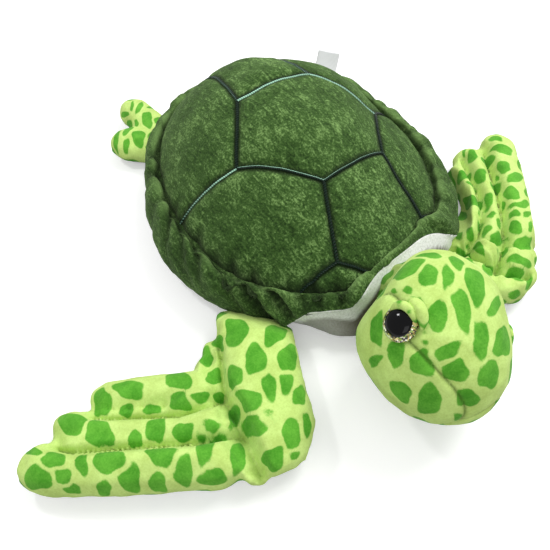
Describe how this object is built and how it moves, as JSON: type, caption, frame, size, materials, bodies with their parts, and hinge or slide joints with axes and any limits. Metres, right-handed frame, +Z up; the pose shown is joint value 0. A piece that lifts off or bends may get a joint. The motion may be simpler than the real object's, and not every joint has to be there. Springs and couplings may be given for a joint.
{
  "type": "plush turtle",
  "caption": "Stuffed sea turtle with an embroidered plush shell, spotted flippers and head, and plastic glitter eyes, resting on its belly.",
  "frame": {"origin": "centre of the belly's flat underside, on the surface it rests on", "axes": "+Z up, head toward -Y, the turtle's own left side toward +X"},
  "size_m": [0.4729, 0.4662, 0.1212],
  "materials": {
    "dark_green_plush": "short dark green pile, mottled where it is brushed",
    "spotted_plush": "yellow-green short pile printed with leaf-green spots",
    "white_plush": "plain white short pile",
    "polyester_filling": "loose polyester fibre",
    "embroidery_thread": "dark green satin stitch with a pale sheen",
    "label_ribbon": "white satin ribbon, blank",
    "black_plastic": "polished black",
    "gold_glitter": "gold glitter under gloss",
    "washer_plastic": "natural moulded plastic"
  },
  "bodies": {
    "shell": {"belly_cover": "white_plush", "body_stuffing": "polyester_filling", "carapace_cover": "dark_green_plush", "rim_band": "dark_green_plush", "scute_embroidery": "embroidery_thread", "sewn_label": "label_ribbon"},
    "neck": {"neck_cover": "spotted_plush", "neck_stuffing": "polyester_filling"},
    "head": {"head_gusset": "spotted_plush", "head_right_panel": "spotted_plush", "head_left_panel": "spotted_plush", "head_stuffing": "polyester_filling", "right_iris_ring": "gold_glitter", "right_eye_dome": "black_plastic", "right_eye_washer": "washer_plastic", "right_eyelid": "spotted_plush", "left_iris_ring": "gold_glitter", "left_eye_dome": "black_plastic", "left_eye_washer": "washer_plastic", "left_eyelid": "spotted_plush"},
    "right_arm": {"right_arm_top_cover": "spotted_plush", "right_arm_under_cover": "white_plush", "right_arm_stuffing": "polyester_filling"},
    "right_hand": {"right_hand_top_cover": "spotted_plush", "right_hand_under_cover": "white_plush", "right_hand_stuffing": "polyester_filling"},
    "right_rear_flipper": {"right_rear_flipper_top_cover": "spotted_plush", "right_rear_flipper_under_cover": "white_plush", "right_rear_flipper_stuffing": "polyester_filling"},
    "left_arm": {"left_arm_top_cover": "spotted_plush", "left_arm_under_cover": "white_plush", "left_arm_stuffing": "polyester_filling"},
    "left_hand": {"left_hand_top_cover": "spotted_plush", "left_hand_under_cover": "white_plush", "left_hand_stuffing": "polyester_filling"},
    "left_rear_flipper": {"left_rear_flipper_top_cover": "spotted_plush", "left_rear_flipper_under_cover": "white_plush", "left_rear_flipper_stuffing": "polyester_filling"}
  },
  "joints": [
    {"name": "neck_nod", "type": "hinge", "parent": "shell", "child": "neck", "pos_m": [-0.01, -0.151, 0.036], "axis": [1, 0, 0], "range_deg": [-15, 4]},
    {"name": "head_turn", "type": "hinge", "parent": "neck", "child": "head", "pos_m": [-0.01, -0.151, 0.036], "axis": [0, 0, 1], "range_deg": [-6, 20]},
    {"name": "right_shoulder_lift", "type": "hinge", "parent": "shell", "child": "right_arm", "pos_m": [-0.08909, -0.08911, 0.006], "axis": [-0.5541, 0.8325, 0], "range_deg": [-8, 30]},
    {"name": "left_shoulder_lift", "type": "hinge", "parent": "shell", "child": "left_arm", "pos_m": [0.06722, -0.11437, 0.006], "axis": [-0.7492, -0.6623, 0], "range_deg": [-8, 20]},
    {"name": "right_hand_fold", "type": "hinge", "parent": "right_arm", "child": "right_hand", "pos_m": [-0.15009, -0.13041, 0.0065], "axis": [0.1969, 0.9804, 0], "range_deg": [-10, 45]},
    {"name": "left_hand_fold", "type": "hinge", "parent": "left_arm", "child": "left_hand", "pos_m": [0.06614, -0.13855, 0.0065], "axis": [0.4768, -0.879, 0], "range_deg": [-10, 20]},
    {"name": "right_hip_lift", "type": "hinge", "parent": "shell", "child": "right_rear_flipper", "pos_m": [-0.04459, 0.12995, 0.006], "axis": [0.8885, 0.4589, 0], "range_deg": [-8, 30]},
    {"name": "left_hip_lift", "type": "hinge", "parent": "shell", "child": "left_rear_flipper", "pos_m": [0.0766, 0.10513, 0.006], "axis": [0.8861, -0.4634, 0], "range_deg": [-8, 30]}
  ]
}
